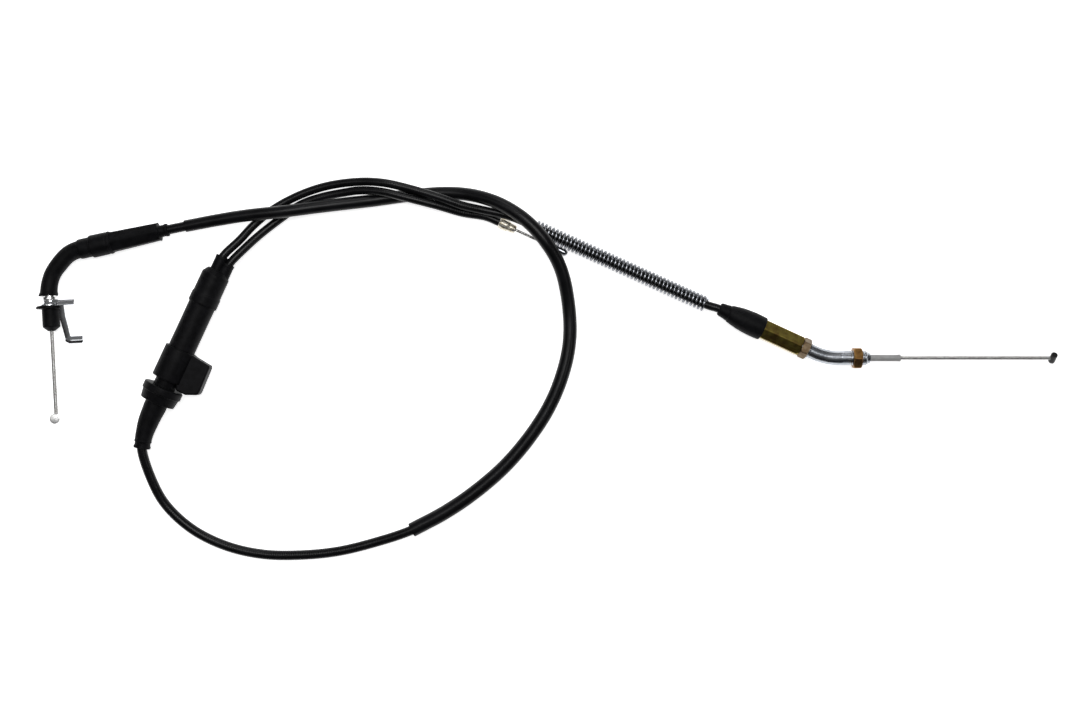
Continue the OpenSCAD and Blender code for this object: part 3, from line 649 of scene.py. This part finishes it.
# ---------------------------------------------------------------- splitter
def add_splitter():
    axis = axis_line(SPLITTER, SPLITTER_AXIS)
    body = "cable_body"
    profile = [(-7.4, 6.2), (-7.4, 9.1), (-2.5, 9.9), (-2.4, 10.5), (1.2, 10.5), (1.6, 9.9),
               (1.6, 6.1)]
    lathe("collar", axis, profile, body, "splitter_collar", 0.4, shape=lumpy(None, 7, 0.08),
          sides=96, bore=6.05)
    profile = [(-1.4, 5.98), (5.8, 5.98), (5.8, 8.5), (23.2, 8.5), (23.2, 7.12)]
    housing = skin("housing", axis, filleted(profile, 0.4), lumpy(None, 8, 0.06), sides=96,
                   bore=2.7)
    dressed(housing, body, "splitter_housing")
    lug(body)
    lathe("barrel", axis, [(20, 7.1), (50, 7.1)], body, "splitter_barrel", 0.1,
          shape=lumpy(None, 10, 0.06), sides=96, bore=6.2, pitch=1.5)

    def cap_shape(angle, station, radius):
        """Six faint flats near the outlets."""
        if 55.6 < station < 68.8:
            return min(radius, hexed(14.6, 15, 0.5)(angle, station, radius) + 0.35)
        return radius

    lathe("cap", axis, [(49.1, 7.15), (49.1, 7.5), (49.8, 7.75), (54.6, 7.75), (55.4, 7.4),
                        (66.2, 7.35), (69.2, 5.35), (69.2, 2.2)], body, "splitter_cap", 0.4,
          shape=lumpy(cap_shape, 7, 0.05), sides=120, bore=1.0, pitch=0.8)
    for name, side, radius, end in (("neck_carb", 0.8, 3.5, 77), ("neck_oil", -4 + 0.4, 3.4, 74.5)):
        profile = [(66, radius), (end - 1.6, radius - 0.1), (end - 1.5, radius), (end, radius),
                   (end, 2.4)]
        neck = skin(name, axis_line(SPLITTER, SPLITTER_AXIS, side), filleted(profile, 0.25),
                    lumpy(None, 5, 0.04), bore=2.35)
        dressed(neck, body, "splitter_cap")

    start = at(SPLITTER, SPLITTER_AXIS, -2.9)
    path = smooth_path([start, at(SPLITTER, SPLITTER_AXIS, -8.4)]
                       + [boot_point(t) for t in (0, 6, 12, 18)], 0.8)
    line, length = route_line(path)
    profile = [(0, 6), (7.5, 5.95), (13, 5.55), (17.5, 5.2), (21.5, 4.75), (length - 4.4, 4.35),
               (length - 4.2, 4.5), (length - 3.4, 4.5), (length - 3.2, 4.1), (length - 1.6, 4.05),
               (length - 1.4, 4.4), (length - 0.3, 4.4), (length, 4.1)]
    dressed(skin("splitter_boot_skin", line, filled(filleted(profile, 0.3), 0.8),
                 lumpy(None, 6, 0.08), sides=72, bore=2.65), body, "splitter_boot")


def lug(body):
    """The flat lug on the side of the housing."""
    half = 4
    outline = [(-6, 22.9), (-7.9, 23.1), (-9.3, 22.8), (-17.6, 21.9), (-18.3, 21.2), (-18.8, 7),
               (-18.6, 5.8), (-17.8, 4.9), (-12.6, 2.6), (-7, 2.6), (-5.5, 7)]
    bm = bmesh.new()
    low, high = ([(at(SPLITTER, SPLITTER_AXIS, s, y) + z * UP) * MM for y, s in outline]
                 for z in (-half, half))
    prism(bm, low, high)
    slab = new_object("lug", bm, 30)
    edge = slab.modifiers.new("edge", "BEVEL")
    edge.width = 0.0009
    edge.segments = 4
    edge.limit_method = "ANGLE"
    edge.angle_limit = math.radians(40)
    dressed(slab, body, "splitter_housing")


# ---------------------------------------------------------------- carburettor end
def add_guard():
    """An open coil of round wire between two points."""
    span = GUARD[1] - GUARD[0]
    way = span.normalized()
    across = UP.cross(way).normalized()
    up = way.cross(across)
    steps = 24
    count = GUARD_TURNS * steps
    path = []
    for i in range(count + 1):
        a = TAU * i / steps
        path.append(GUARD[0] + span * i / count
                    + GUARD_COIL_R * (math.cos(a) * across + math.sin(a) * up))
    far = [0.0]
    for a, b in zip(path, path[1:]):
        far.append(far[-1] + (b - a).length)

    def line(s):
        i = min(int(s / far[-1] * count + 0.5), count)
        out = (path[i] - GUARD[0])
        out = (out - way * out.dot(way)).normalized()
        return path[i], out, way

    rings = [(far[-1] * i / count, GUARD_WIRE_R) for i in range(count + 1)]
    dressed(skin("guard_coil", line, rings, sides=12), "cable_body", "spring_guard",
            finish="coil_steel")


def add_carb_end():
    slope = axis_line(CARB, CARB_AXIS)
    level = axis_line(CARB, 0)
    add_guard()
    profile = [(-62.2, 2.6), (-62.1, 3.2), (-61.2, 3.6), (-59, 3.8), (-57.2, 4.2), (-56.6, 4.1),
               (-56.1, 4.6), (-53.5, 5.2), (-50, 5.85), (-46, 6.2), (-42.5, 6.38), (-39, 6.35),
               (-37, 6.2), (-36.6, 5.95), (-36.5, 5.5)]
    lathe("carb_boot_skin", slope, profile, "adjuster_body", "carb_boot", 0.3,
          shape=lumpy(None, 6, 0.07), sides=80, bore=2.4, pitch=0.6)
    flats = hexed(10, 0, 0.15)
    lathe("adjuster", slope, [(-48, 5), (-47.4, 5.8), (-15.3, 5.8), (-14.6, 5.1), (-14.6, 4.1)],
          "adjuster_body", "carb_adjuster", 0.1, shape=flats, sides=144, bore=4.05, pitch=0.8,
          sharp=20)
    nut = hexed(10, 30, 0.15)
    lathe("lock_nut", slope, [(-14.4, 4.2), (-14.4, 5), (-13.8, 5.85), (-10.8, 5.85), (-10.2, 5),
                              (-10.2, 4.2)], "lock_nut_body", "adjuster_lock_nut", 0.1, shape=nut,
          sides=144, bore=4.05, pitch=0.3, sharp=20)
    bend, slack = bent_line(CARB, 30, CARB_AXIS, 0)

    def into(station):
        return station - slack

    def out(station):
        return station + slack

    thread = threaded(1, 0.22)

    def tube_shape(angle, station, radius):
        if station < into(-9.6) or out(8.4) < station < out(21.2):
            return thread(angle, station, radius)
        return radius

    profile = [(into(-34), 3.6), (into(-33.6), 4), (into(-9.6), 4), (into(-9.5), 3.85),
               (out(8.2), 3.85), (out(8.5), 4), (out(21.2), 4), (out(21.6), 3.6), (out(23.4), 2.7),
               (out(23.4), 1.9)]
    dressed(skin("elbow", bend, filled(profile, 0.14), lumpy(tube_shape, 5, 0.03), sides=64,
                 bore=1.85, sharp=40), "elbow_body", "carb_elbow", finish="elbow_steel")
    top = hexed(10.5, 5, 0.2)
    lathe("top_nut", level, [(14.3, 4.2), (14.3, 5.2), (15, 6.1), (18.2, 6.1), (18.9, 5.2),
                             (18.9, 4.2)], "top_nut_body", "carb_top_nut", 0.1, shape=top,
          sides=144, bore=4.05, pitch=0.3, sharp=20)
    lathe("liner", level, [(9, 1.8), (37.6, 1.8), (39.2, 1.95), (39.7, 1.85)], "elbow_body",
          "carb_liner", 0.2, shape=lumpy(None, 4, 0.03), sides=40, bore=1.3, pitch=0.8)
    add_wire("carb_wire_strand", level, (24, 120.8), WIRE_D / 2, "carb_wire_set", "carb_wire")
    add_nipple("carb_nipple_slug", at(CARB, 0, 120.8), 1.75, 5.8, 53, 90, "carb_wire_set",
               "carb_nipple", 0.2)


def add_oil_end():
    axis = axis_line(OIL, OIL_AXIS)
    add_wire("oil_wire_strand", axis, (-0.4, 23), OIL_WIRE_D / 2, "oil_wire_set", "oil_wire")
    profile = [(19, 0.8), (19, 1.55), (19.3, 1.85), (29.3, 1.85), (30.5, 0.9), (30.5, 0.01)]
    dressed(skin("oil_nipple_slug", axis, filleted(profile, 0.5), sides=56), "oil_wire_set",
            "oil_nipple", finish="coil_steel")


def dress_hidden():
    """Pieces inside the boots and the splitter keep their CAD shape and take their finish."""
    for node, obj in frame["nodes"].items():
        if obj.hide_render:
            continue
        obj.data.materials.clear()
        obj.data.materials.append(MATERIALS[SLOT_OF[node]])


# ---------------------------------------------------------------- floor and light
def add_floor():
    bm = bmesh.new()
    bmesh.ops.create_grid(bm, x_segments=2, y_segments=2, size=3)
    floor = new_object("floor", bm)
    floor.location.z = -0.0003
    mat = bpy.data.materials.new("floor")
    mat.use_nodes = True
    shader = mat.node_tree.nodes["Principled BSDF"]
    shader.inputs["Base Color"].default_value = (1, 1, 1, 1)
    shader.inputs["Roughness"].default_value = 0.9
    shader.inputs["Emission Color"].default_value = (1, 1, 1, 1)
    shader.inputs["Emission Strength"].default_value = 0.8
    floor.data.materials.append(mat)


def add_light(name, place, size, power):
    data = bpy.data.lights.new(name, "AREA")
    data.energy = power
    data.size = size
    lamp = bpy.data.objects.new(name, data)
    lamp.location = place
    lamp.rotation_euler = (-Vector(place)).to_track_quat("-Z", "Y").to_euler()
    bpy.context.collection.objects.link(lamp)


def add_world():
    """A room that is bright overhead and towards +Y, and dark on its other side."""
    world = bpy.data.worlds.new("world")
    world.use_nodes = True
    nodes, links = world.node_tree.nodes, world.node_tree.links
    lean = nodes.new("ShaderNodeVectorMath")
    lean.operation = "DOT_PRODUCT"
    lean.inputs[1].default_value = (0, 0.55, 0.83)
    links.new(nodes.new("ShaderNodeTexCoord").outputs["Generated"], lean.inputs[0])
    ramp = nodes.new("ShaderNodeValToRGB")
    links.new(lean.outputs["Value"], ramp.inputs["Fac"])
    for stop, (spot, level) in zip(ramp.color_ramp.elements, ((0.1, 0.02), (0.8, 0.16))):
        stop.position = spot
        stop.color = (level, level, level, 1)
    links.new(ramp.outputs["Color"], nodes["Background"].inputs["Color"])
    bpy.context.scene.world = world


# name, place, size and power: the last two are there for highlights on the metal
LIGHTS = [
    ("key", (0, 0.3, 1.3), 0.6, 9),
    ("side", (0, 1.1, 0.75), 0.5, 3),
    ("glint", (0.9, -0.2, 1.0), 0.25, 1),
    ("left", (-0.65, 0.08, 1.2), 0.4, 0.9),
]


def add_stage():
    add_floor()
    for light in LIGHTS:
        add_light(*light)
    add_world()
    bpy.context.scene.view_settings.view_transform = "Standard"


add_cords()
add_grip_end()
add_splitter()
add_carb_end()
add_oil_end()
dress_hidden()
add_stage()
